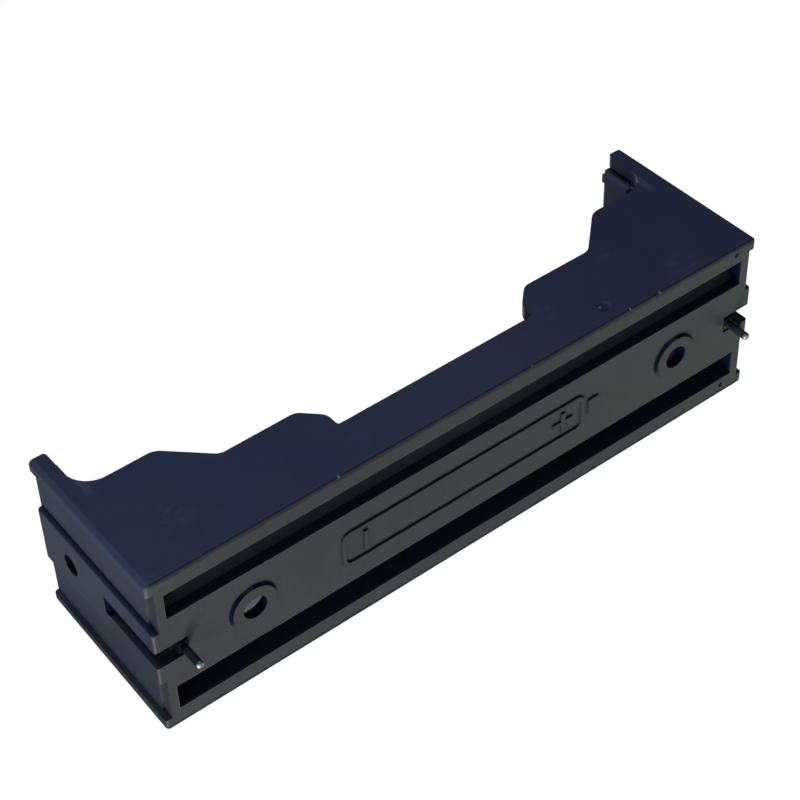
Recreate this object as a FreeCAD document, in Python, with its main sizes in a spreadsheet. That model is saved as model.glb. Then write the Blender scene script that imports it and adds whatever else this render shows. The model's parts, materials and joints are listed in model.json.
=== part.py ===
import FreeCAD, Part
import math
import os
import re

import Sketcher

# Open holder for one cylindrical cell, screwed and soldered to a board.
# Frame: +X along the cell, +Z out of the open side, z = 0 at the face of the board,
# origin midway between the two screw holes. All sizes are in millimetres.

SIZES = {
    # Outer form of the moulding
    "holder_length": 77.0,
    "seat_width": 20.95,
    "rim_width": 20.45,
    "holder_height": 21.05,
    "corner_radius": 0.5,
    "seat_edge": 0.3,
    "rim_edge": 0.35,
    # Trough for the cell
    "cell_diameter": 18.5,
    "cell_length": 65.0,
    "cell_clearance": 0.1,
    "floor_thickness": 1.2,
    "end_wall": 2.3,
    # Stepped top edge of the side walls, from the finger gap out to the end walls
    "sill_height": 5.73,
    "gap_length": 24.9,
    "gap_chamfer": 2.25,
    "low_shelf": 9.76,
    "slope_foot": 23.56,
    "slope_top": 28.28,
    "high_shelf": 14.28,
    "step_radius": 1.5,
    "shelf_radius": 2.0,
    "post_foot_radius": 3.0,
    "sill_radius": 0.3,
    # Open channels under the trough, one on each side of the centre band
    "band_width": 9.84,
    "rail_width": 2.3,
    "channel_end": 1.77,
    # Sunk strips in the end faces, beside the centre plate
    "plate_width": 7.4,
    "plate_edge": 0.4,
    "end_post_width": 1.5,
    "panel_depth": 0.55,
    "panel_foot_depth": 0.8,
    "panel_foot_height": 1.4,
    # Slot and notch for the pin, and the locking hole, in each end wall
    "slot_width": 2.25,
    "slot_height": 8.4,
    "slot_ramp": 0.8,
    "notch_length": 3.7,
    "lock_hole_diameter": 2.4,
    "lock_hole_height": 15.4,
    # Ribs that guide the contact, with a groove on each side
    "rib_offset": 7.5,
    "rib_width": 1.1,
    "rib_depth": 0.5,
    "rib_bottom": 16.8,
    "groove_width": 0.4,
    "groove_depth": 0.5,
    # Screw holes, each with a low ring underneath and a seat for the screw head in the trough
    "screw_pitch": 54.8,
    "screw_hole_diameter": 2.7,
    "screw_head_diameter": 5.0,
    "head_seat_height": 0.5,
    "ring_diameter": 5.3,
    "ring_height": 0.35,
    "ring_slope": 0.1,
    # Sheet contacts
    "sheet_thickness": 0.4,
    "contact_clearance": 0.15,
    "plate_bottom": 5.0,
    "plate_top": 17.6,
    "plate_corner": 0.6,
    "tail_bend_height": 3.4,
    "tail_jog": 0.3,
    "tail_width": 1.2,
    "negative_tail_end": 0.8,
    "positive_tail_end": -1.25,
    "lock_height": 0.8,
    "leaf_width": 7.0,
    "leaf_bend": 0.65,
    "leaf_preload": 0.6,
    "leaf_nose_radius": 2.4,
    "leaf_foot_height": 5.4,
    "leaf_foot_gap": 0.5,
    "pin_diameter": 0.85,
    "pin_length": 3.0,
    "pin_foot_depth": 0.9,
    "pin_foot_width": 1.3,
    "pin_foot_top": 4.8,
    "pin_tip_radius": 0.3,
    "pin_inset": 0.8,
}

# Places that several features share, as formulas of the sizes
HALF_LENGTH = "holder_length / 2"
INNER_END = "(holder_length / 2 - end_wall)"
BORE_RADIUS = "(cell_diameter / 2 + cell_clearance)"
BORE_HEIGHT = f"({BORE_RADIUS} + floor_thickness)"
PAST_TOP = "(holder_height + end_wall)"
BELOW = "(-floor_thickness)"

document = FreeCAD.newDocument("cell_holder")
sheet = document.addObject("Spreadsheet::Sheet", "Sizes")
for row, (alias, value) in enumerate(SIZES.items(), start=1):
    sheet.set(f"A{row}", alias)
    sheet.set(f"B{row}", str(value))
    sheet.setAlias(f"B{row}", alias)
document.recompute()


def sized(formula):
    """The formula with each size pointing at its cell in the sheet."""
    return re.sub(r"[a-z_]+", lambda word: f"Sizes.{word[0]}" if word[0] in SIZES else word[0], formula)


def amount(formula):
    """What the formula comes to with the sizes as they are."""
    return float(sheet.evalExpression(sized(formula)))


def bind(item, path, formula):
    item.setExpression(path, sized(formula))


def new_sketch(body, name, plane_role, offset="0"):
    """A sketch on one of the body's own origin planes, moved along the plane's normal."""
    sketch = body.newObject("Sketcher::SketchObject", name)
    plane = next(item for item in body.Origin.OriginFeatures if item.Role == plane_role)
    sketch.AttachmentSupport = (plane, [""])
    sketch.MapMode = "FlatFace"
    bind(sketch, "AttachmentOffset.Base.z", offset)
    return sketch


def held(geometry, end, across, up):
    """The two constraints, with their formulas, that keep a point of a sketch in place."""
    return [
        (Sketcher.Constraint("DistanceX", -1, 1, geometry, end, amount(across)), across),
        (Sketcher.Constraint("DistanceY", -1, 1, geometry, end, amount(up)), up),
    ]


def constrain(sketch, rules):
    """Add (constraint, formula) pairs at once, and bind those that have a formula."""
    numbers = sketch.addConstraint([constraint for constraint, _ in rules])
    for number, (_, formula) in zip(numbers, rules):
        if formula:
            bind(sketch, f"Constraints[{number}]", formula)


def draw_circle(sketch, across, up, diameter):
    centre = FreeCAD.Vector(amount(across), amount(up), 0)
    circle = sketch.addGeometry(Part.Circle(centre, FreeCAD.Vector(0, 0, 1), amount(diameter) / 2))
    size = (Sketcher.Constraint("Diameter", circle, amount(diameter)), diameter)
    constrain(sketch, held(circle, 3, across, up) + [size])


def round_corner(point, before, after, radius):
    """The arc that rounds a corner, the points where it starts and stops, and its ends in that order."""
    back = (before - point).normalize()
    on = (after - point).normalize()
    half_angle = back.getAngle(on) / 2
    centre = point + (back + on).normalize() * (radius / math.sin(half_angle))
    reach = radius / math.tan(half_angle)
    touches = [point + back * reach, point + on * reach]
    turns_left = back.cross(on).z < 0
    first, last = touches if turns_left else reversed(touches)
    start = math.atan2(first.y - centre.y, first.x - centre.x)
    sweep = (math.atan2(last.y - centre.y, last.x - centre.x) - start) % (2 * math.pi)
    arc = Part.ArcOfCircle(Part.Circle(centre, FreeCAD.Vector(0, 0, 1), radius), start, start + sweep)
    return arc, touches, (1, 2) if turns_left else (2, 1)


def draw_path(sketch, corners, closed=True):
    """Straight lines through (across, up, radius) corners, with a tangent arc at each rounded one.

    A rounded corner is held by a construction point where its two sides would meet.
    """
    points = [FreeCAD.Vector(amount(across), amount(up), 0) for across, up, _ in corners]
    count = len(corners)
    arcs = {}
    leaving = list(points)
    arriving = list(points)
    for index, (_, _, radius) in enumerate(corners):
        if radius:
            after = points[(index + 1) % count]
            arc, touches, ends = round_corner(points[index], points[index - 1], after, amount(radius))
            arriving[index], leaving[index] = touches
            arcs[index] = (sketch.addGeometry(arc), ends)
    lines = []
    for index in range(count if closed else count - 1):
        line = Part.LineSegment(leaving[index], arriving[(index + 1) % count])
        lines.append(sketch.addGeometry(line))
    rules = []
    for index, (across, up, radius) in enumerate(corners):
        line_in = lines[index - 1]
        line_out = lines[index] if index < len(lines) else None
        if index in arcs:
            arc, (end_in, end_out) = arcs[index]
            corner = sketch.addGeometry(Part.Point(points[index]), True)
            rules += [
                (Sketcher.Constraint("Tangent", line_in, 2, arc, end_in), ""),
                (Sketcher.Constraint("Tangent", line_out, 1, arc, end_out), ""),
                (Sketcher.Constraint("PointOnObject", corner, 1, line_in), ""),
                (Sketcher.Constraint("PointOnObject", corner, 1, line_out), ""),
                (Sketcher.Constraint("Radius", arc, amount(radius)), radius),
            ]
            rules += held(corner, 1, across, up)
        elif line_out is None:
            rules += held(line_in, 2, across, up)
        else:
            if closed or index:
                rules.append((Sketcher.Constraint("Coincident", line_in, 2, line_out, 1), ""))
            rules += held(line_out, 1, across, up)
    constrain(sketch, rules)


def draw_box(sketch, left, bottom, right, top):
    draw_path(sketch, [(left, bottom, ""), (right, bottom, ""), (right, top, ""), (left, top, "")])


def mirrored(corners):
    """The same corners on the other side of the sketch's upright axis."""
    return [(f"-({across})", up, radius) for across, up, radius in reversed(corners)]


def extrude(body, kind, sketch, length="", both_ways=False, backwards=False):
    """A Pad or Pocket of the sketch, through everything where no length is given."""
    feature = body.newObject(f"PartDesign::{kind}", f"{sketch.Label}_{kind.lower()}")
    feature.Profile = sketch
    feature.SideType = "Symmetric" if both_ways else "One side"
    feature.Reversed = backwards
    if length:
        bind(feature, "Length", length)
    else:
        feature.Type = "ThroughAll"
    document.recompute()
    return feature


def round_edges(body, name, radius, chosen):
    """Round the edges of the body's newest feature that the test picks."""
    base = body.Tip
    names = [f"Edge{number}" for number, edge in enumerate(base.Shape.Edges, start=1) if chosen(edge)]
    feature = body.newObject("PartDesign::Fillet", name)
    feature.Base = (base, names)
    bind(feature, "Radius", radius)
    document.recompute()


def make_block(body):
    """The drafted block that everything else is cut from, with its outer corners and edges rounded."""
    section = new_sketch(body, "section", "YZ_Plane")
    draw_path(section, [
        ("-seat_width / 2", "0", ""),
        ("seat_width / 2", "0", ""),
        ("rim_width / 2", "holder_height", ""),
        ("-rim_width / 2", "holder_height", ""),
    ])
    extrude(body, "Pad", section, "holder_length", both_ways=True)
    height = amount("holder_height")
    round_edges(body, "corners", "corner_radius", lambda edge: edge.BoundBox.ZLength > height / 2)
    round_edges(body, "seat_edges", "seat_edge", lambda edge: edge.BoundBox.ZMax < height / 2
                and edge.BoundBox.ZLength < 1e-6)
    round_edges(body, "rim_edges", "rim_edge", lambda edge: edge.BoundBox.ZMin > height / 2
                and edge.BoundBox.ZLength < 1e-6)


def cut_trough(body):
    """The round bed for the cell, and the parallel walls above it."""
    bore = new_sketch(body, "bore", "YZ_Plane")
    draw_circle(bore, "0", BORE_HEIGHT, f"2 * {BORE_RADIUS}")
    extrude(body, "Pocket", bore, f"2 * {INNER_END}", both_ways=True)
    mouth = new_sketch(body, "mouth", "YZ_Plane")
    draw_box(mouth, f"-{BORE_RADIUS}", BORE_HEIGHT, BORE_RADIUS, PAST_TOP)
    extrude(body, "Pocket", mouth, f"2 * {INNER_END}", both_ways=True)


def cut_channels(body):
    """Two long channels in the underside, as deep as the round floor of the trough leaves room."""
    sketch = new_sketch(body, "channels", "YZ_Plane")
    shell_radius = f"({BORE_RADIUS} + floor_thickness)"
    inner = "(band_width / 2)"
    outer = "(seat_width / 2 - rail_width)"
    centre = FreeCAD.Vector(0, amount(BORE_HEIGHT), 0)
    radius = amount(shell_radius)
    for side in ("", "-"):
        walls = [amount(side + inner), amount(side + outer)]
        roofs = [centre.y - math.sqrt(radius**2 - across**2) for across in walls]
        low = amount(BELOW)
        foot = [FreeCAD.Vector(across, low, 0) for across in walls]
        head = [FreeCAD.Vector(across, up, 0) for across, up in zip(walls, roofs)]
        floor = sketch.addGeometry(Part.LineSegment(foot[0], foot[1]))
        inner_wall = sketch.addGeometry(Part.LineSegment(foot[0], head[0]))
        outer_wall = sketch.addGeometry(Part.LineSegment(foot[1], head[1]))
        angles = [math.atan2(point.y - centre.y, point.x) for point in head]
        circle = Part.Circle(centre, FreeCAD.Vector(0, 0, 1), radius)
        roof = sketch.addGeometry(Part.ArcOfCircle(circle, min(angles), max(angles)))
        inner_end, outer_end = (2, 1) if angles[0] > angles[1] else (1, 2)
        rules = [
            (Sketcher.Constraint("Coincident", floor, 1, inner_wall, 1), ""),
            (Sketcher.Constraint("Coincident", floor, 2, outer_wall, 1), ""),
            (Sketcher.Constraint("Coincident", roof, inner_end, inner_wall, 2), ""),
            (Sketcher.Constraint("Coincident", roof, outer_end, outer_wall, 2), ""),
            (Sketcher.Constraint("Vertical", inner_wall), ""),
            (Sketcher.Constraint("Vertical", outer_wall), ""),
            (Sketcher.Constraint("Radius", roof, radius), shell_radius),
        ]
        rules += held(floor, 1, side + inner, BELOW)
        rules += held(floor, 2, side + outer, BELOW)
        rules += held(roof, 3, "0", BORE_HEIGHT)
        constrain(sketch, rules)
    extrude(body, "Pocket", sketch, "holder_length - 2 * channel_end", both_ways=True)


def cut_steps(body):
    """The stepped top edge of both side walls, from one end wall to the other."""
    sketch = new_sketch(body, "steps", "XZ_Plane")
    gap = "(gap_length / 2)"
    half = [
        (gap, "sill_height", "sill_radius"),
        (gap, "low_shelf - gap_chamfer", "step_radius"),
        (f"{gap} + gap_chamfer", "low_shelf", "step_radius"),
        ("slope_foot", "low_shelf", "step_radius"),
        ("slope_top", "high_shelf", "shelf_radius"),
        (INNER_END, "high_shelf", "post_foot_radius"),
        (INNER_END, "holder_height", "rim_edge"),
        (f"{INNER_END} + 2 * rim_edge", "holder_height", ""),
        (f"{INNER_END} + 2 * rim_edge", PAST_TOP, ""),
    ]
    draw_path(sketch, half + mirrored(half))
    extrude(body, "Pocket", sketch, both_ways=True)


def cut_end_strips(body):
    """Two sunk strips beside the centre plate of each end face, a little deeper at the foot."""
    outer = "(seat_width / 2 - end_post_width)"
    for name, depth, top in (
        ("strips", "panel_depth", PAST_TOP),
        ("strip_feet", "panel_foot_depth", "panel_foot_height"),
    ):
        for end in (1, -1):
            sketch = new_sketch(body, name, "YZ_Plane", f"{end} * {HALF_LENGTH}")
            draw_box(sketch, "plate_width / 2", BELOW, outer, top)
            draw_box(sketch, f"-{outer}", BELOW, "-plate_width / 2", top)
            extrude(body, "Pocket", sketch, depth, backwards=end < 0)
    face = amount(HALF_LENGTH)
    height = amount("holder_height")
    round_edges(body, "plate_edges", "plate_edge", lambda edge: edge.BoundBox.ZLength > height / 2
                and abs(edge.CenterOfMass.x) > face - 1e-6 and abs(edge.CenterOfMass.y) < height / 4)


def cut_pin_slots(body):
    """The slot up each end wall and the notch through the floor, one cut for the contact's tail."""
    sketch = new_sketch(body, "pin_slots", "XZ_Plane")
    notch = "(holder_length / 2 - notch_length)"
    outside = "(holder_length / 2 + end_wall)"
    slot = [
        (notch, BELOW, ""),
        (outside, BELOW, ""),
        (outside, "slot_height + slot_ramp", ""),
        (HALF_LENGTH, "slot_height + slot_ramp", ""),
        (f"{HALF_LENGTH} - slot_ramp", "slot_height", ""),
        (notch, "slot_height", ""),
    ]
    draw_path(sketch, slot)
    draw_path(sketch, mirrored(slot))
    extrude(body, "Pocket", sketch, "slot_width", both_ways=True)


def cut_lock_holes(body):
    """The hole in each end wall that the contact's boss snaps into."""
    sketch = new_sketch(body, "lock_holes", "YZ_Plane")
    draw_circle(sketch, "0", "lock_hole_height", "lock_hole_diameter")
    extrude(body, "Pocket", sketch, both_ways=True)


def add_guide_ribs(body):
    """Inside each end wall, a rib on both sides of the contact, with a groove on each side of the rib."""
    grooves = new_sketch(body, "grooves", "YZ_Plane")
    for end in (1, -1):
        ribs = new_sketch(body, "ribs", "YZ_Plane", f"{end} * {INNER_END}")
        middle = f"({end} * rib_offset)"
        for side in (1, -1):
            draw_box(ribs, f"{side} * rib_offset - rib_width / 2", "rib_bottom",
                     f"{side} * rib_offset + rib_width / 2", "holder_height - rim_edge")
            near = f"({middle} + {side} * rib_width / 2)"
            far = f"({near} + {side} * groove_width)"
            draw_box(grooves, near, "rib_bottom", far, PAST_TOP)
        extrude(body, "Pad", ribs, "rib_depth", backwards=end > 0)
    extrude(body, "Pocket", grooves, f"2 * ({INNER_END} + groove_depth)", both_ways=True)


def add_screw_places(body):
    """The low rings under the floor, the holes through them and the cones for the screw heads."""
    rings = new_sketch(body, "rings", "XY_Plane")
    holes = new_sketch(body, "screw_holes", "XY_Plane")
    for end in (1, -1):
        draw_circle(rings, f"{end} * screw_pitch / 2", "0", "ring_diameter")
        draw_circle(holes, f"{end} * screw_pitch / 2", "0", "screw_hole_diameter")
    ring = extrude(body, "Pad", rings, "ring_height", backwards=True)
    bind(ring, "TaperAngle", "-atan(ring_slope / ring_height)")
    document.recompute()
    extrude(body, "Pocket", holes, both_ways=True)
    for end in (1, -1):
        seat = body.newObject("PartDesign::SubtractiveCone", "head_seat")
        seat.AttachmentSupport = (holes.AttachmentSupport[0][0], [""])
        seat.MapMode = "FlatFace"
        bind(seat, "AttachmentOffset.Base.x", f"{end} * screw_pitch / 2")
        bind(seat, "AttachmentOffset.Base.z", "head_seat_height")
        bind(seat, "Radius1", "screw_hole_diameter / 2")
        bind(seat, "Radius2", "screw_head_diameter / 2")
        bind(seat, "Height", "(screw_head_diameter - screw_hole_diameter) / 2")
        document.recompute()


def make_housing():
    body = document.addObject("PartDesign::Body", "housing")
    make_block(body)
    cut_trough(body)
    cut_channels(body)
    cut_steps(body)
    cut_end_strips(body)
    cut_pin_slots(body)
    cut_lock_holes(body)
    add_guide_ribs(body)
    add_screw_places(body)
    bind(body, "Placement.Base.z", "ring_height")
    return body


def make_contact(label, turn, tail_end):
    """One sheet contact: back plate, spring leaf, locking boss, tail and pin.

    It is drawn at the far end of the holder and turned about the upright axis to its own end.
    """
    body = document.addObject("PartDesign::Body", label)
    front = f"({INNER_END} - sheet_thickness)"
    middle = f"({INNER_END} - sheet_thickness / 2)"
    reach = "(rib_offset - rib_width / 2 - contact_clearance)"
    tail_reach = "(tail_width / 2)"

    plate = new_sketch(body, "plate", "YZ_Plane", INNER_END)
    side = [
        (tail_reach, "plate_bottom", ""),
        (reach, f"plate_bottom + {reach} - {tail_reach}", "plate_corner"),
        (reach, "plate_top", "plate_corner"),
    ]
    draw_path(plate, side + mirrored(side))
    extrude(body, "Pad", plate, "sheet_thickness", backwards=True)

    boss = new_sketch(body, "lock_boss", "YZ_Plane", INNER_END)
    draw_circle(boss, "0", "lock_hole_height", "lock_hole_diameter - 2 * contact_clearance")
    extrude(body, "Pad", boss, "lock_height")

    tail = new_sketch(body, "tail", "XZ_Plane")
    jog_end = "(tail_bend_height - tail_jog)"
    draw_path(tail, [
        (front, "plate_bottom + sheet_thickness", ""),
        (front, "tail_bend_height", ""),
        (f"{front} + tail_jog", jog_end, ""),
        (f"{front} + tail_jog", tail_end, ""),
        (f"{INNER_END} + tail_jog", tail_end, ""),
        (f"{INNER_END} + tail_jog", jog_end, ""),
        (INNER_END, "tail_bend_height", ""),
        (INNER_END, "plate_bottom + sheet_thickness", ""),
    ])
    extrude(body, "Pad", tail, "tail_width", both_ways=True)

    leaf_start = "(plate_top - leaf_bend)"
    leaf_end = new_sketch(body, "leaf_section", "XY_Plane", leaf_start)
    draw_box(leaf_end, front, "-leaf_width / 2", INNER_END, "leaf_width / 2")
    leaf_path = new_sketch(body, "leaf_path", "XZ_Plane")
    draw_path(leaf_path, [
        (middle, leaf_start, ""),
        (middle, "plate_top + leaf_bend", "leaf_bend"),
        (f"{middle} - 2.2 * leaf_bend", "plate_top + leaf_bend", "leaf_bend"),
        ("cell_length / 2 - leaf_preload", BORE_HEIGHT, "leaf_nose_radius"),
        (f"{front} - leaf_foot_gap", "leaf_foot_height", ""),
    ], closed=False)
    leaf = body.newObject("PartDesign::AdditivePipe", "leaf")
    leaf.Profile = leaf_end
    leaf.Spine = leaf_path
    document.recompute()

    pin_place = f"({INNER_END} - pin_inset)"
    foot = new_sketch(body, "pin_foot", "XY_Plane")
    draw_box(foot, f"{pin_place} - pin_foot_depth / 2", "-pin_foot_width / 2", middle, "pin_foot_width / 2")
    extrude(body, "Pad", foot, "pin_foot_top")
    pin = new_sketch(body, "pin", "XY_Plane", "-pin_length")
    draw_circle(pin, pin_place, "0", "pin_diameter")
    extrude(body, "Pad", pin, "pin_length + floor_thickness")
    tip = amount("-pin_length")
    round_edges(body, "pin_tip", "pin_tip_radius", lambda edge: edge.BoundBox.ZMax < tip + 1e-6)

    body.Placement = FreeCAD.Placement(FreeCAD.Vector(), FreeCAD.Rotation(FreeCAD.Vector(0, 0, 1), turn))
    bind(body, "Placement.Base.z", "ring_height")
    return body


sub_parts = [
    make_housing(),
    make_contact("contact_negative", 180, "negative_tail_end"),
    make_contact("contact_positive", 0, "positive_tail_end"),
]
document.recompute()

for item in document.Objects:
    if "Invalid" in item.State or "Error" in item.State:
        raise RuntimeError(f"{item.Label} did not compute: {item.State}")
os.makedirs("parts", exist_ok=True)
for sub_part in sub_parts:
    shape = sub_part.Shape
    if shape.isNull() or not shape.isValid():
        raise RuntimeError(f"{sub_part.Label} is not a valid solid")
    shape.exportStep(f"parts/{sub_part.Label}.step")
    print(f"{sub_part.Label}: {len(shape.Solids)} solid, {shape.Volume:.1f} cubic mm")
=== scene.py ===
# %% [markdown]
# # A holder for one cylindrical cell
#
# The holder is a black moulding with a round trough, two stepped side walls and a sheet contact at
# each end. It is screwed and soldered to a board, and the picture looks at the side that faces the
# board. The measured model gives every solid its size and place. This script gives the solids their
# finish, adds the small marks that are on the real moulding, and sets the light and the camera.

# %% Load the measured model
import json
import math

import bmesh
import bpy
from mathutils import Euler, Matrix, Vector

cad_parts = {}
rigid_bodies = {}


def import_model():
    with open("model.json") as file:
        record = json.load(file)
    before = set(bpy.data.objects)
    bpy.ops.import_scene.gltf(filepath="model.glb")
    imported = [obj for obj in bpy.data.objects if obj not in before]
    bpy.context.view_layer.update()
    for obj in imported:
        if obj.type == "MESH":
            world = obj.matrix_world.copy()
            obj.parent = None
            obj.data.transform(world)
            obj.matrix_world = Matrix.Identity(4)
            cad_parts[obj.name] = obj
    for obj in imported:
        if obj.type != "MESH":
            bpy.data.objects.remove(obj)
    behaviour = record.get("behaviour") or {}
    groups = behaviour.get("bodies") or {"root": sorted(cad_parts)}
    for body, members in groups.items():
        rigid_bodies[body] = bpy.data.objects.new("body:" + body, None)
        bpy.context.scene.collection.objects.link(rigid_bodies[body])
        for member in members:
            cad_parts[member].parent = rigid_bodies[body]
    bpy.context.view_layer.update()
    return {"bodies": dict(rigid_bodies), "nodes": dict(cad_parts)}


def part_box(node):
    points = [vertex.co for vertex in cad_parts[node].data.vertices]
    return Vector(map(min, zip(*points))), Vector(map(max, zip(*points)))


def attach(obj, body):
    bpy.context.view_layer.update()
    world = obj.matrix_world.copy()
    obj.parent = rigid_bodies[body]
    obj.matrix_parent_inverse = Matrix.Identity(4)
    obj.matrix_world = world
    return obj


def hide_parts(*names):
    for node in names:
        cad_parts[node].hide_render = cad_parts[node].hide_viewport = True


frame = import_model()
BODY = next(iter(frame["bodies"]))
MM = 0.001
print("body", BODY, "nodes", sorted(frame["nodes"]))

# %% [markdown]
# ## The places that the finish needs
#
# Wear sits on edges, and marks sit at known places, so the finish has to know where the edges are.
# They are worked out from the housing's own box and from a few sizes of the holder, in metres.

# %% Places on the housing
HOUSING_LOW, HOUSING_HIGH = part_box("housing")
HALF_LENGTH = HOUSING_HIGH.x
HALF_WIDTH = HOUSING_HIGH.y
RING_HEIGHT = 0.35 * MM
SEAT = HOUSING_LOW.z + RING_HEIGHT
BAND_HALF_WIDTH = 4.92 * MM
RAIL_INNER = HALF_WIDTH - 2.3 * MM
CHANNEL_END = HALF_LENGTH - 1.77 * MM
SCREW_PITCH = 54.8 * MM
LOCK_HEIGHT = SEAT + 15.4 * MM
PLATE_HALF_WIDTH = 3.7 * MM
RING_RADIUS = 2.57 * MM
print("seat plane at", round(SEAT / MM, 3), "mm; half length", round(HALF_LENGTH / MM, 2), "mm")


# %% [markdown]
# ## Shader maths as ordinary sums
#
# A material is easier to read when its masks are written as sums. `Value` wraps the output of a
# node, and its operators add Math nodes, so `1 - mask * 0.5` builds three nodes and reads as one line.

# %% A value that builds Math nodes, and the material that holds it
class Value:
    """The output of a node, ready for sums."""

    def __init__(self, finish, socket):
        self.finish = finish
        self.socket = socket

    def _sum(self, operation, first, second):
        return self.finish.node("ShaderNodeMath", {"operation": operation}, {0: first, 1: second})

    def __add__(self, other):
        return self._sum("ADD", self, other)

    def __sub__(self, other):
        return self._sum("SUBTRACT", self, other)

    def __rsub__(self, other):
        return self._sum("SUBTRACT", other, self)

    def __mul__(self, other):
        return self._sum("MULTIPLY", self, other)

    def __truediv__(self, other):
        return self._sum("DIVIDE", self, other)

    __radd__ = __add__
    __rmul__ = __mul__

    def size(self):
        """The value without its sign."""
        return self._sum("ABSOLUTE", self, 0.0)

    def larger(self, other):
        return self._sum("MAXIMUM", self, other)

    def power(self, exponent):
        return self._sum("POWER", self, exponent)


def largest(values):
    """The largest of several values at each spot, so that masks add up without growing past one."""
    first, *others = values
    for other in others:
        first = first.larger(other)
    return first


class Finish:
    """A material under construction, with its shader and the object's own coordinates."""

    def __init__(self, name):
        self.material = bpy.data.materials.new(name)
        self.material.use_nodes = True
        self.tree = self.material.node_tree
        self.tree.nodes.clear()
        self.shader = self.tree.nodes.new("ShaderNodeBsdfPrincipled")
        self.output = self.tree.nodes.new("ShaderNodeOutputMaterial")
        self.tree.links.new(self.shader.outputs["BSDF"], self.output.inputs["Surface"])
        self.place = self.node("ShaderNodeTexCoord", {}, {}, "Object")
        axes = self.tree.nodes.new("ShaderNodeSeparateXYZ")
        self.plug(self.place, axes.inputs["Vector"])
        self.x, self.y, self.z = (Value(self, output) for output in axes.outputs)

    def plug(self, value, socket):
        """Give a socket a link, or a value of its own."""
        if isinstance(value, Value):
            self.tree.links.new(value.socket, socket)
        else:
            socket.default_value = value

    def node(self, kind, settings, sockets, output=0):
        """Add a node: its settings come first, then the values or links of its sockets."""
        node = self.tree.nodes.new(kind)
        for name, setting in settings.items():
            setattr(node, name, setting)
        for name, value in sockets.items():
            self.plug(value, node.inputs[name])
        return Value(self, node.outputs[output])

    def step(self, value, low, high):
        """A smooth step from nought to one while the value goes from low to high."""
        sockets = {"Value": value, "From Min": low, "From Max": high, "To Min": 0.0, "To Max": 1.0}
        return self.node("ShaderNodeMapRange", {"interpolation_type": "SMOOTHSTEP"}, sockets)

    def noise(self, size, detail=2.0, stretch=(1, 1, 1), shift=0.0):
        """Smooth noise whose blobs are about the given size, stretched along the axes."""
        scale = [1 / (size * along) for along in stretch]
        spot = self.node("ShaderNodeMapping", {}, {"Vector": self.place, "Scale": scale,
                                                    "Location": (shift, shift, shift)})
        return self.node("ShaderNodeTexNoise", {}, {"Vector": spot, "Scale": 1.0, "Detail": detail})

    def near_point(self, centre, radius, soft=0.25):
        """One inside a ball round a point, falling to nought over the soft share of its radius."""
        gap = self.node("ShaderNodeVectorMath", {"operation": "DISTANCE"},
                        {0: self.place, 1: centre}, "Value")
        return self.step(gap, radius * (1 + soft), radius * (1 - soft))

    def mix(self, share, first, second):
        """A colour between two others."""
        return self.node("ShaderNodeMix", {"data_type": "RGBA"},
                         {"Factor": share, 6: first, 7: second}, 2)

    def bumps(self, *layers):
        """Relief made of (height as a value, depth in metres) layers, one over the other."""
        normal = None
        for height, depth in layers:
            sockets = {"Height": height, "Distance": depth, "Strength": 1.0}
            if normal is not None:
                sockets["Normal"] = normal
            normal = self.node("ShaderNodeBump", {}, sockets)
        return normal

    def paint_shade(self, share, colour):
        """Painted shade: over the given share of the surface, mix in a dead matt shader without gloss in the
        given colour.
        """
        matt = self.tree.nodes.new("ShaderNodeBsdfPrincipled")
        matt.inputs["Base Color"].default_value = colour
        matt.inputs["Roughness"].default_value = 1.0
        matt.inputs["Specular IOR Level"].default_value = 0.0
        both = self.tree.nodes.new("ShaderNodeMixShader")
        self.plug(share, both.inputs[0])
        self.tree.links.new(self.shader.outputs["BSDF"], both.inputs[1])
        self.tree.links.new(matt.outputs["BSDF"], both.inputs[2])
        self.tree.links.new(both.outputs[0], self.output.inputs["Surface"])

    def give(self, **sockets):
        """Set the shader's own sockets, with spaces written as underscores."""
        for name, value in sockets.items():
            self.plug(value, self.shader.inputs[name.replace("_", " ")])


# %% [markdown]
# ## The black moulding
#
# A black moulding is never one flat black. The tool leaves a fine matte grain, and dust and handling
# leave faint scuffs. The thin pale lines along the edges are partly worn plastic and partly painted
# highlight. Painted shade darkens the deep channels, the holes, the foot of the rings, the plate's flanks,
# the seat's outer border and the dimples, and painted light brightens the near end face and the top of
# the end walls' inner faces. All of it is worked out from Object coordinates, so it stays on the part
# from every side. Each mask is a small function of its own, nought where nothing happens and one where
# it does.

# %% Masks for the moulding
def edge_wear_and_highlight(finish, under):
    """Thin pale lines along the long edges of the underside, broken up by noise: partly worn plastic, partly
    painted highlight.
    """
    across = finish.y.size()
    patchy = finish.step(finish.noise(2.5 * MM, detail=4, stretch=(3, 1, 1)), 0.38, 0.62)
    lines = finish.step((across - BAND_HALF_WIDTH).size(), 0.16 * MM, 0.03 * MM)
    lines = lines.larger(finish.step((across - RAIL_INNER).size(), 0.16 * MM, 0.03 * MM))
    ends = finish.step((finish.x.size() - CHANNEL_END).size(), 0.16 * MM, 0.03 * MM)
    in_channel = finish.step(across, BAND_HALF_WIDTH - 0.1 * MM, BAND_HALF_WIDTH)
    in_channel = in_channel * finish.step(across, RAIL_INNER + 0.1 * MM, RAIL_INNER)
    lines = lines * finish.step(finish.x.size(), CHANNEL_END + 0.1 * MM, CHANNEL_END)
    return (lines.larger(ends * in_channel)) * under * (0.25 + 0.75 * patchy)


def rim_wear_and_highlight(finish):
    """The outer edge of the seat is rubbed most, and unevenly, and its paler colour is partly painted
    highlight.
    """
    rough_line = finish.noise(0.9 * MM, detail=4, stretch=(1.6, 1, 1)) - 0.5
    below = finish.step(finish.z - rough_line * 0.5 * MM, SEAT + 0.34 * MM, SEAT + 0.22 * MM)
    outside = finish.step(finish.y.size(), HALF_WIDTH - 0.5 * MM, HALF_WIDTH - 0.15 * MM)
    return below * outside


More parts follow.
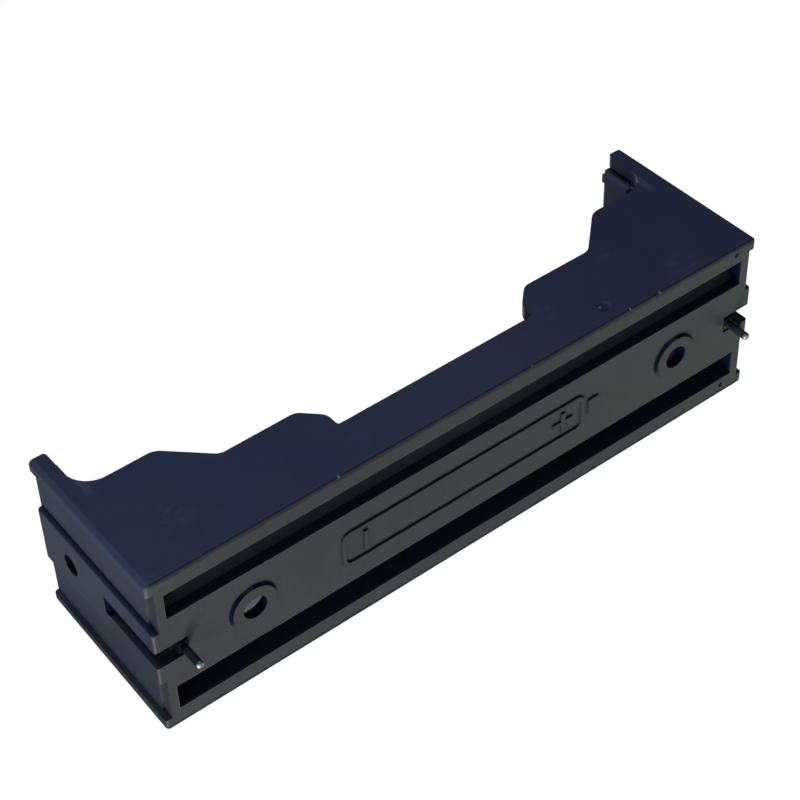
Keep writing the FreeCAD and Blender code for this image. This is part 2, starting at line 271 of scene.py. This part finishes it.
def shaded_seat_border(finish, under):
    """Painted shade on the outer border of the seat, in the side wall's dark blue, whose inner line wanders.
    """
    wander = finish.noise(1.1 * MM, detail=4, stretch=(2.2, 1, 1))
    fine = finish.noise(0.35 * MM, detail=2, stretch=(1.5, 1, 1))
    start = HALF_WIDTH - (0.26 + 0.5 * wander + 0.15 * fine) * MM
    return finish.step(finish.y.size() - start, -0.06 * MM, 0.05 * MM) * under


def plate_flank_shade(finish):
    """Painted shade on the narrow sides of the centre plate on each end face."""
    across = finish.y.size()
    flank = finish.step(across, PLATE_HALF_WIDTH - 0.32 * MM, PLATE_HALF_WIDTH - 0.05 * MM)
    flank = flank * finish.step(across, PLATE_HALF_WIDTH + 0.22 * MM, PLATE_HALF_WIDTH + 0.1 * MM)
    return flank * finish.step(finish.x.size(), HALF_LENGTH - 0.9 * MM, HALF_LENGTH - 0.6 * MM)


def channel_shade(finish):
    """Two masks of painted shade for the long channels: one on their walls and one on their roofs."""
    across = finish.y.size()
    inside = finish.step(across, BAND_HALF_WIDTH - 0.02 * MM, BAND_HALF_WIDTH + 0.02 * MM)
    inside = inside * finish.step(across, RAIL_INNER + 0.03 * MM, RAIL_INNER - 0.01 * MM)
    inside = inside * finish.step(finish.x.size(), CHANNEL_END + 0.06 * MM, CHANNEL_END + 0.03 * MM)
    inside = inside * finish.step(finish.z, SEAT + 0.02 * MM, SEAT + 0.35 * MM)
    inside = inside * finish.step(finish.z, SEAT + 7 * MM, SEAT + 5 * MM)
    wall = finish.step(across, BAND_HALF_WIDTH + 0.1 * MM, BAND_HALF_WIDTH + 0.02 * MM)
    wall = wall.larger(finish.step(across, RAIL_INNER - 0.1 * MM, RAIL_INNER - 0.02 * MM))
    wall = wall.larger(finish.step(finish.x.size(), CHANNEL_END - 0.1 * MM, CHANNEL_END - 0.02 * MM))
    return inside * wall, inside * (1 - wall)


def hole_shade(finish):
    """Painted shade: one inside the screw holes, the lock holes and the top of the end slots."""
    along = finish.x.size() - SCREW_PITCH / 2
    radius = (along * along + finish.y * finish.y).power(0.5)
    holes = finish.step(radius, 2.6 * MM, 2.45 * MM)
    holes = holes * finish.step(finish.z, SEAT + 0.1 * MM, SEAT + 0.5 * MM)
    holes = holes.larger(finish.step(radius, 1.38 * MM, 1.35 * MM))
    holes = holes * finish.step(finish.z, SEAT + 3.0 * MM, SEAT + 2.6 * MM)
    up = finish.z - LOCK_HEIGHT
    lock = finish.step((up * up + finish.y * finish.y).power(0.5), 1.26 * MM, 1.2 * MM)
    slot = finish.step(finish.y.size(), 1.16 * MM, 1.13 * MM)
    slot = slot * finish.step(finish.z, SEAT + 9.3 * MM, SEAT + 9.2 * MM)
    slot = slot * finish.step(finish.z, SEAT + 8.2 * MM, SEAT + 8.35 * MM)
    ends = finish.step(finish.x.size(), HALF_LENGTH, HALF_LENGTH - 0.04 * MM)
    ends = ends * finish.step(finish.x.size(), HALF_LENGTH - 2.5 * MM, HALF_LENGTH - 2.2 * MM)
    return holes.larger((lock.larger(slot)) * ends)


# Each arc of painted shade round a ring: the angle of its middle and its half angle in degrees, and how dark
# it is
RING_SHADE_ARCS = [(204, 44, 1.0), (306, 33, 0.75)]


def ring_shade(finish):
    """Painted shade and painted shadow at the foot of the two rings, in one long arc and a fainter short one.
    """
    along = finish.x.size() - SCREW_PITCH / 2
    signed = finish.node("ShaderNodeMath", {"operation": "SIGN"}, {0: finish.x})
    real_along = along * signed
    radius = (along * along + finish.y * finish.y).power(0.5)
    flank = finish.step(radius, RING_RADIUS - 0.06 * MM, RING_RADIUS)
    flank = flank * finish.step(radius, RING_RADIUS + 0.34 * MM, RING_RADIUS + 0.2 * MM)
    flank = flank * finish.step(finish.z, SEAT + 0.15 * MM, SEAT + 0.05 * MM)
    arcs = []
    for angle, half, depth in RING_SHADE_ARCS:
        turn = math.radians(angle)
        cosine = (real_along * math.cos(turn) + finish.y * math.sin(turn)) / radius.larger(0.1 * MM)
        outer, inner = (math.cos(math.radians(half + soft)) for soft in (9, -9))
        arcs.append(finish.step(cosine, outer, inner) * depth)
    return flank * (0.2 + 0.8 * largest(arcs))


# %% The moulding's finish
# Places in mm: scuffs (x, height, size) on the side wall, nicks (x, size) on its lower edge, and
# ejector marks (x, y) on the seat
SCUFFS = [(-31, 6.35, 1.5), (13.5, 5.8, 1.1), (29.5, 2.4, 1.6), (-12, 3.2, 1.0), (24.5, 8.0, 0.9)]
NICKS = [(-16.6, 0.16), (20.6, 0.13), (24.7, 0.17), (7.4, 0.10)]
EJECTOR_MARKS = [(35.8, -9.4), (35.3, 9.1)]
DIMPLE = Vector((18.8 * MM, -HALF_WIDTH + 0.05 * MM, SEAT + 2.1 * MM))


def moulding_finish():
    finish = Finish("black_moulding")
    cloud = finish.noise(5 * MM, detail=3)
    grain = finish.noise(0.22 * MM, detail=3)
    blotch = finish.noise(11 * MM, detail=2, shift=3.0)
    body = finish.mix(cloud, (0.031, 0.034, 0.036, 1), (0.040, 0.042, 0.043, 1))
    shade = finish.mix(finish.step(grain, 0.35, 0.75), body, (0.046, 0.048, 0.050, 1))
    shade = finish.mix(0.6 * finish.step(blotch, 0.42, 0.62), shade, (0.042, 0.034, 0.046, 1))
    under = finish.step(finish.z, SEAT + 0.25 * MM, SEAT + 0.1 * MM)

    wear_and_highlight = edge_wear_and_highlight(finish, under)
    # Paler edge lines: partly wear, partly painted highlight.
    shade = finish.mix(0.5 * wear_and_highlight, shade, (0.10, 0.105, 0.11, 1))
    # The seat's outer edge painted paler: partly wear, partly painted highlight.
    shade = finish.mix(0.35 * rim_wear_and_highlight(finish), shade, (0.075, 0.08, 0.085, 1))
    wall, roof = channel_shade(finish)
    # Painted shade: the channels' walls painted dark blue, their roofs near black.
    shade = finish.mix(0.8 * wall, shade, (0.001, 0.014, 0.050, 1))
    shade = finish.mix(0.75 * roof, shade, (0.006, 0.014, 0.010, 1))
    # Painted shade: the side wall's dark blue carried onto the seat's outer border.
    shade = finish.mix(0.85 * shaded_seat_border(finish, under), shade, (0.010, 0.014, 0.026, 1))
    # Painted shade as a dead matt shader: holes, ring feet, plate flanks, channels, channel ends, ejector
    # marks, seat border.
    painted_shade = hole_shade(finish).larger(0.92 * ring_shade(finish)).larger(0.6 * plate_flank_shade(finish))
    # Painted shade on the end walls of the channels.
    ends = wall * finish.step(finish.x.size(), CHANNEL_END - 0.1 * MM, CHANNEL_END - 0.02 * MM)
    # The ejector marks are shallow dimples in the bump, filled with painted shade.
    ejector_dimples_and_shade = largest([finish.near_point((along * MM, across * MM, SEAT), 0.3 * MM, soft=0.3)
                     for along, across in EJECTOR_MARKS])
    painted_shade = painted_shade.larger(0.35 * wall).larger(0.97 * ends).larger(0.85 * ejector_dimples_and_shade)
    painted_shade = painted_shade.larger(0.15 * shaded_seat_border(finish, under))
    finish.paint_shade(painted_shade, colour=(0.003, 0.0075, 0.019, 1))

    ragged = finish.step(finish.noise(0.7 * MM, detail=4, stretch=(2, 1, 1)), 0.42, 0.7)
    scuffs = largest([finish.near_point((along * MM, -HALF_WIDTH, up * MM), size * MM, soft=0.8)
                      for along, up, size in SCUFFS])
    shade = finish.mix(0.5 * scuffs * ragged, shade, (0.09, 0.10, 0.12, 1))
    nick_line = (-HALF_WIDTH + 0.1 * MM, SEAT + 0.12 * MM)
    nicks = largest([finish.near_point((along * MM, *nick_line), size * MM) for along, size in NICKS])
    shade = finish.mix(0.7 * nicks, shade, (0.26, 0.28, 0.29, 1))

    corner = finish.near_point((-HALF_LENGTH + 1.3 * MM, -HALF_WIDTH + 0.3 * MM, SEAT), 1.3 * MM, soft=0.7)
    shade = finish.mix(0.6 * corner * ragged, shade, (0.085, 0.082, 0.078, 1))
    # Painted light: the near end face painted paler towards the rim and the -y side.
    painted_end_light = finish.step(finish.x, -HALF_LENGTH + 0.65 * MM, -HALF_LENGTH + 0.5 * MM)
    painted_end_light = painted_end_light * finish.step(finish.z - finish.y * 1.6, SEAT + 1 * MM, SEAT + 13 * MM)
    shade = finish.mix(0.55 * painted_end_light, shade, (0.088, 0.085, 0.098, 1))
    low_middle = finish.near_point((0, -HALF_WIDTH, SEAT + 1.5 * MM), 11 * MM, soft=0.7)
    shade = finish.mix(0.4 * low_middle * (1 - under), shade, (0.075, 0.068, 0.064, 1))
    # The dimple is a bump in the side wall; painted shade darkens its dish and a painted highlight sits on
    # its rim.
    dimple_with_shade = finish.near_point(DIMPLE, 0.6 * MM, soft=0.45)
    dimple_highlight = finish.near_point(DIMPLE + Vector((-0.45 * MM, 0, 0.1 * MM)), 0.15 * MM)
    shade = finish.mix(0.5 * dimple_with_shade, shade, (0.015, 0.018, 0.022, 1))
    shade = finish.mix(0.8 * dimple_highlight, shade, (0.3, 0.33, 0.35, 1))
    # Painted light: the inner faces of the end walls painted paler near their tops.
    inner = finish.step(finish.x.size(), HALF_LENGTH - 2.95 * MM, HALF_LENGTH - 2.85 * MM)
    inner = inner * finish.step(finish.x.size(), HALF_LENGTH - 2.0 * MM, HALF_LENGTH - 2.2 * MM)
    inner = inner * finish.step(finish.z, SEAT + 12 * MM, SEAT + 15 * MM)
    shade = finish.mix(0.8 * inner, shade, (0.10, 0.105, 0.10, 1))
    rough = 0.46 + 0.14 * cloud + 0.1 * grain - 0.06 * wear_and_highlight + 0.1 * scuffs * ragged
    normal = finish.bumps((cloud, 0.03 * MM), (grain, 0.015 * MM), (1 - dimple_with_shade.larger(ejector_dimples_and_shade), 0.1 * MM))
    finish.give(Base_Color=shade, Roughness=rough, Normal=normal)
    return finish.material


# %% [markdown]
# ## The plated contacts
#
# Each contact is stamped from thin sheet and plated, so it is a soft grey metal with faint rolling
# lines along its length. The tail and the pin are painted darker than the bright leaf: painted shade
# that stands in for the dark surroundings they reflect, with a painted highlight at the tip of each
# pin. The tail and the pin are also rougher.

# %% The contacts' finish
def plated_finish():
    finish = Finish("plated_sheet")
    rolling = finish.noise(0.15 * MM, detail=2, stretch=(1, 1, 12))
    stain = finish.noise(1.2 * MM, detail=3)
    bright = finish.mix(stain, (0.42, 0.42, 0.41, 1), (0.62, 0.62, 0.60, 1))
    painted_shade_colour = finish.mix(stain, (0.045, 0.052, 0.046, 1), (0.11, 0.115, 0.105, 1))
    tail = finish.step(finish.x.size(), HALF_LENGTH - 2.55 * MM, HALF_LENGTH - 2.48 * MM)
    tail = tail.larger(finish.step(finish.z, SEAT + 4.4 * MM, SEAT + 3.0 * MM))
    tip_highlight = finish.step(finish.z, -2.2 * MM, -2.55 * MM)
    # Painted shade: tails and pins painted dark for the surroundings they reflect; painted highlight at the
    # pin tips.
    colour = finish.mix(tail * (1 - 0.8 * tip_highlight), bright, painted_shade_colour)
    up = finish.z - LOCK_HEIGHT
    boss_shade = finish.step((up * up + finish.y * finish.y).power(0.5), 1.5 * MM, 1.3 * MM)
    boss_shade = boss_shade * finish.step(finish.x.size(), HALF_LENGTH - 2.25 * MM, HALF_LENGTH - 2.0 * MM)
    outside = finish.step(finish.x.size(), HALF_LENGTH - 2.55 * MM, HALF_LENGTH - 2.48 * MM)
    outside = outside * finish.step(finish.z, SEAT + 5.0 * MM, SEAT + 6.5 * MM)
    near_tail_shade = finish.step(finish.x, -HALF_LENGTH + 3.4 * MM, -HALF_LENGTH + 3.3 * MM)
    near_tail_shade = near_tail_shade * finish.step(finish.z, -0.5 * MM, 0.1 * MM)
    # Painted shade: near black on the boss in the lock hole, on the contact's outer face and on the near
    # tail.
    finish.paint_shade((0.97 * boss_shade.larger(outside)).larger(0.7 * near_tail_shade), colour=(0.002, 0.003, 0.006, 1))
    rough = 0.22 + 0.2 * stain + 0.08 * rolling + 0.16 * tail
    finish.give(Base_Color=colour, Roughness=rough, Metallic=1.0,
                Normal=finish.bumps((rolling, 0.01 * MM)))
    return finish.material


# %% Put the finishes on the solids
moulding = moulding_finish()
plated = plated_finish()
for name, node in frame["nodes"].items():
    node.data.materials.clear()
    node.data.materials.append(moulding if name == "housing" else plated)
    print(name, len(node.data.polygons), "faces")

# %% [markdown]
# ## The posts beside the end walls
#
# The side walls rise to a post at each end. On the real moulding a post is a little thinner than the
# end wall, its top is well rounded, and a groove runs down beside the guide rib. These small forms
# are cut from a copy of the measured housing: a profile is drawn once, set up at all four posts as a
# solid cutter, and taken away by a Boolean modifier. Moving vertices by hand would be quicker, but a
# cut keeps the faces flat and the edges clean.

# %% Profiles of the two cuts
SHELF = SEAT + 14.28 * MM
RIM = HOUSING_HIGH.z
INNER_FACE = HALF_LENGTH - 2.3 * MM
POST_FACE = HALF_LENGTH - 1.88 * MM
POST_FOOT_RADIUS = 3.0 * MM
POST_TOP_RADIUS = 0.75 * MM
RIB_OUTER_SIDE = 8.06 * MM


def arc(centre, radius, first, last, steps=24):
    """Points on an arc from one angle to another, in degrees."""
    turns = [math.radians(first + (last - first) * step / steps) for step in range(steps + 1)]
    x, z = centre
    return [(x + radius * math.cos(turn), z + radius * math.sin(turn)) for turn in turns]


post_cut = arc((POST_FACE - POST_FOOT_RADIUS, SHELF + POST_FOOT_RADIUS), POST_FOOT_RADIUS, -86, 0)
post_cut += arc((POST_FACE + POST_TOP_RADIUS, RIM - POST_TOP_RADIUS), POST_TOP_RADIUS, 180, 90)
post_cut += [(POST_FACE + POST_TOP_RADIUS, RIM + 1 * MM), (INNER_FACE - 4 * MM, RIM + 1 * MM),
             (INNER_FACE - 4 * MM, SHELF + 0.03 * MM)]
groove_cut = [(INNER_FACE - 1 * MM, SHELF + 2.9 * MM), (INNER_FACE + 1 * MM, SHELF + 2.9 * MM),
              (INNER_FACE + 1 * MM, RIM + 1 * MM), (INNER_FACE - 1 * MM, RIM + 1 * MM)]


# %% Cut the posts
def set_up_cutters(name, profile, near, far):
    """The profile as a solid at each of the four posts, between two distances from the middle."""
    mesh = bpy.data.meshes.new(name)
    shape = bmesh.new()
    for end in (1, -1):
        for side in (1, -1):
            front, back = ([shape.verts.new((end * x, side * across, z)) for x, z in profile]
                           for across in (near, far))
            shape.faces.new(front)
            shape.faces.new(back)
            for first in range(len(profile)):
                second = (first + 1) % len(profile)
                shape.faces.new((front[first], back[first], back[second], front[second]))
    bmesh.ops.recalc_face_normals(shape, faces=shape.faces)
    shape.to_mesh(mesh)
    shape.free()
    cutter = bpy.data.objects.new(name, mesh)
    bpy.context.scene.collection.objects.link(cutter)
    return cutter


def cut_posts(node):
    mesh = node.data.copy()
    shape = bmesh.new()
    shape.from_mesh(mesh)
    for edge in shape.edges:
        edge.smooth = not edge.is_boundary
    bmesh.ops.remove_doubles(shape, verts=shape.verts, dist=0.0001 * MM)
    shape.to_mesh(mesh)
    shape.free()
    housing = bpy.data.objects.new("moulded_housing", mesh)
    bpy.context.scene.collection.objects.link(housing)
    cutters = [set_up_cutters("post_cutters", post_cut, RIB_OUTER_SIDE + 0.2 * MM, 12 * MM),
               set_up_cutters("groove_cutters", groove_cut, RIB_OUTER_SIDE, RIB_OUTER_SIDE + 0.65 * MM)]
    for cutter in cutters:
        cut = housing.modifiers.new(cutter.name, "BOOLEAN")
        cut.operation = "DIFFERENCE"
        cut.solver = "EXACT"
        cut.object = cutter
    depsgraph = bpy.context.evaluated_depsgraph_get()
    housing.data = bpy.data.meshes.new_from_object(housing.evaluated_get(depsgraph))
    housing.modifiers.clear()
    for cutter in cutters:
        bpy.data.objects.remove(cutter)
    return housing


housing = cut_posts(frame["nodes"]["housing"])
print("housing with its posts cut:", len(housing.data.polygons), "faces")

# %% [markdown]
# A rounded edge beside a large flat face needs care: averaged normals would bend the flat face's
# shading. The measured housing comes as separate faces, so their borders were marked sharp before
# they were joined. The cuts add two kinds of edge: corners, and the border where a round runs out
# into a flat, whose angle is only half of one step of the arc. Both are marked sharp too, and at
# the posts only the facets of the arcs, which have no sideways slope, stay smooth.

# %% Flat faces stay flat
def keep_flats(mesh, corner=28.0, run_out=2.6):
    """Mark the corners and the run-out edges sharp, by their angles in degrees."""
    shape = bmesh.new()
    shape.from_mesh(mesh)
    before = sum(not edge.smooth for edge in shape.edges)
    for edge in shape.edges:
        turn = math.degrees(edge.calc_face_angle(0.0))
        middle = (edge.verts[0].co + edge.verts[1].co) / 2
        at_post = abs(middle.x) > POST_FACE - 8 * MM and middle.z > SHELF - 4 * MM
        sideways = max((abs(face.normal.y) for face in edge.link_faces), default=0.0)
        if turn > corner or 0.2 < turn < run_out or (at_post and turn > 0.2 and sideways > 0.02):
            edge.smooth = False
    for face in shape.faces:
        face.smooth = True
    print("sharp edges:", before, "from the housing,", sum(not edge.smooth for edge in shape.edges), "in all")
    shape.to_mesh(mesh)
    shape.free()


keep_flats(housing.data)
housing.data.materials.clear()
housing.data.materials.append(moulding)
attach(housing, BODY)
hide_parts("housing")

# %% [markdown]
# ## The raised marking
#
# The underside carries a raised marking, moulded with the part. Here it is the plain sign for a
# cell: a long rounded outline with a nub at the positive end, a plus and a minus. A moulded mark has
# sloping sides that catch the light, so it is built as a solid: each stroke is a flat ribbon with a
# raised top that is a little narrower than its foot.

# %% Strokes of the marking
MARK_HEIGHT = 0.25 * MM
STROKE = 0.62 * MM


def rounded_loop(low, high, radius, steps=8):
    """Points round a rectangle with rounded corners, anticlockwise."""
    left, right = low[0] + radius, high[0] - radius
    bottom, top = low[1] + radius, high[1] - radius
    points = []
    for cx, cy, start in ((right, top, 0), (left, top, 90), (left, bottom, 180), (right, bottom, 270)):
        for step in range(steps + 1):
            turn = math.radians(start + 90 * step / steps)
            points.append((cx + radius * math.cos(turn), cy + radius * math.sin(turn)))
    return points


def add_ridge(shape, outer, inner, slope):
    """A closed ridge between two loops of points on the band: sloping sides and a flat top."""
    rows = []
    for loop, shift, height in ((outer, 0, -0.05 * MM), (outer, -slope, MARK_HEIGHT),
                                (inner, slope, MARK_HEIGHT), (inner, 0, -0.05 * MM)):
        if loop is None:
            continue
        count = len(loop)
        row = []
        for index, point in enumerate(loop):
            before, after = Vector(loop[index - 1]), Vector(loop[(index + 1) % count])
            outward = Vector(((after - before).y, -(after - before).x)).normalized()
            place = Vector(point) + outward * shift
            row.append(shape.verts.new((place.x, place.y, SEAT - height)))
        rows.append(row)
    for first, second in zip(rows, rows[1:]):
        for index in range(len(first)):
            after = (index + 1) % len(first)
            shape.faces.new((first[index], second[index], second[after], first[after]))
    if inner is None:
        shape.faces.new(rows[-1])


def shaded_mark_sides():
    """Painted shade: the sloping sides are painted nearly black."""
    finish = Finish("shaded_mark_sides")
    shade_mottle = finish.noise(0.5 * MM, detail=3)
    finish.give(Base_Color=finish.mix(shade_mottle, (0.003, 0.004, 0.003, 1), (0.014, 0.016, 0.014, 1)),
                Roughness=0.55 + 0.2 * shade_mottle)
    return finish.material


def make_marking():
    mesh = bpy.data.meshes.new("marking")
    shape = bmesh.new()
    slope = 0.1 * MM
    low, high = (-17.0 * MM, -2.45 * MM), (14.6 * MM, 2.45 * MM)
    inner_low, inner_high = (low[0] + STROKE, low[1] + STROKE), (high[0] - STROKE, high[1] - STROKE)
    add_ridge(shape, rounded_loop(low, high, 1.1 * MM), rounded_loop(inner_low, inner_high, 0.6 * MM), slope)
    nub = rounded_loop((15.0 * MM, -1.15 * MM), (16.6 * MM, 1.15 * MM), 0.35 * MM)
    add_ridge(shape, nub, None, slope)
    half = STROKE / 2
    reach = 1.35 * MM
    plus = [(half, half), (half, reach), (-half, reach), (-half, half), (-reach, half), (-reach, -half),
            (-half, -half), (-half, -reach), (half, -reach), (half, -half), (reach, -half), (reach, half)]
    minus = [(half, -reach), (half, reach), (-half, reach), (-half, -reach)]
    for sign, middle in ((plus, 11.6 * MM), (minus, -14.0 * MM)):
        add_ridge(shape, [(x + middle, y) for x, y in sign], None, slope * 0.7)
    bmesh.ops.recalc_face_normals(shape, faces=shape.faces)
    shape.to_mesh(mesh)
    shape.free()
    marking = bpy.data.objects.new("marking", mesh)
    bpy.context.scene.collection.objects.link(marking)
    mesh.materials.append(moulding)
    # The sloping sides take a material of painted shade.
    mesh.materials.append(shaded_mark_sides())
    for face in mesh.polygons:
        face.material_index = 0 if abs(face.normal.z) > 0.9 else 1
    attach(marking, BODY)
    print("marking", len(mesh.polygons), "faces")
    return marking


marking = make_marking()

# %% [markdown]
# ## Camera
#
# The camera was solved from the edges of the holder in the picture: where it stands, how it is
# turned, and how long its lens is.

# %% Camera at the picture's angle
camera_data = bpy.data.cameras.new("camera")
camera_data.sensor_width = 36.0
camera_data.lens = 91.167
camera_data.shift_x = 0.10665
camera_data.shift_y = -0.15128
camera_data.clip_start = 0.01
camera_data.clip_end = 20.0
camera = bpy.data.objects.new("camera", camera_data)
camera.location = Vector((-90.932, -148.869, -110.071 + RING_HEIGHT / MM)) * MM
camera.rotation_euler = Euler([math.radians(turn) for turn in (141.6368, 36.2161, 3.8513)])
bpy.context.scene.collection.objects.link(camera)
bpy.context.scene.camera = camera

# %% [markdown]
# ## Floor and light
#
# The picture looks up at the underside, so the floor lies below the camera. To the eye, floor and sky
# are both white. As light, the sky is weak and blue and the floor only throws some light back. Large
# lamps model the faces: the underside is the brightest, the near end face is cooler, the long side
# wall is the darkest, and one lamp from above lights the trough.


# %% Floor
def make_floor(height, radius):
    mesh = bpy.data.meshes.new("floor")
    shape = bmesh.new()
    bmesh.ops.create_circle(shape, cap_ends=True, segments=96, radius=radius)
    bmesh.ops.translate(shape, verts=shape.verts, vec=(0, 0, height))
    shape.to_mesh(mesh)
    shape.free()
    floor = bpy.data.objects.new("floor", mesh)
    bpy.context.scene.collection.objects.link(floor)
    pale = Finish("pale_floor")
    seen = pale.node("ShaderNodeLightPath", {}, {}, "Is Camera Ray")
    pale.give(Base_Color=(0.42, 0.42, 0.42, 1), Roughness=0.8, Emission_Color=seen, Emission_Strength=1.0)
    mesh.materials.append(pale.material)


make_floor(height=-0.6, radius=4.0)


# %% Sky and lamps
def make_sky(seen, lit, strength):
    """A pale sky for the eye, and a cooler and weaker one as the light that falls on things."""
    world = bpy.data.worlds.new("sky")
    bpy.context.scene.world = world
    world.use_nodes = True
    nodes, links = world.node_tree.nodes, world.node_tree.links
    nodes.clear()
    path = nodes.new("ShaderNodeLightPath")
    colours = []
    for colour, power in ((lit, strength), (seen, 1.0)):
        background = nodes.new("ShaderNodeBackground")
        background.inputs["Color"].default_value = (*colour, 1)
        background.inputs["Strength"].default_value = power
        colours.append(background)
    both = nodes.new("ShaderNodeMixShader")
    output = nodes.new("ShaderNodeOutputWorld")
    links.new(path.outputs["Is Camera Ray"], both.inputs[0])
    links.new(colours[0].outputs[0], both.inputs[1])
    links.new(colours[1].outputs[0], both.inputs[2])
    links.new(both.outputs[0], output.inputs["Surface"])


def make_lamp(name, direction, distance, size, power, colour):
    """A square lamp that stands off in a direction from the holder and faces it."""
    data = bpy.data.lights.new(name, "AREA")
    data.size = size
    data.energy = power
    data.color = colour
    lamp = bpy.data.objects.new(name, data)
    toward = Vector(direction).normalized()
    lamp.location = toward * distance
    lamp.rotation_euler = toward.to_track_quat("Z", "Y").to_euler()
    bpy.context.scene.collection.objects.link(lamp)


# Each lamp: name, direction from the holder, distance and size in metres, power in watts, colour
LAMPS = [
    ("key", (-0.5, 0.65, -0.72), 0.45, 0.2, 1.50, (1.0, 0.98, 0.79)),
    ("second", (0.75, 0.5, -0.6), 0.45, 0.2, 0.26, (0.71, 1.0, 0.68)),
    ("end_fill", (-1, 0.1, -0.5), 0.45, 0.3, 1.5, (0.51, 0.73, 1.0)),
    ("side_fill", (-0.1, -1, 0.25), 0.5, 0.3, 1.18, (0.39, 0.58, 1.0)),
    ("back_fill", (0.4, 0.9, 0.5), 0.6, 0.4, 1.2, (0.85, 0.92, 1.0)),
    ("top_fill", (0.12, 0.3, 1), 0.6, 0.4, 3.2, (0.9, 0.95, 1.0)),
]
make_sky(seen=(1, 1, 1), lit=(0.10, 0.30, 1.0), strength=0.095)
for lamp in LAMPS:
    make_lamp(*lamp)
print(len(LAMPS), "lamps")

# %% Colours as they are
bpy.context.scene.view_settings.view_transform = "Standard"
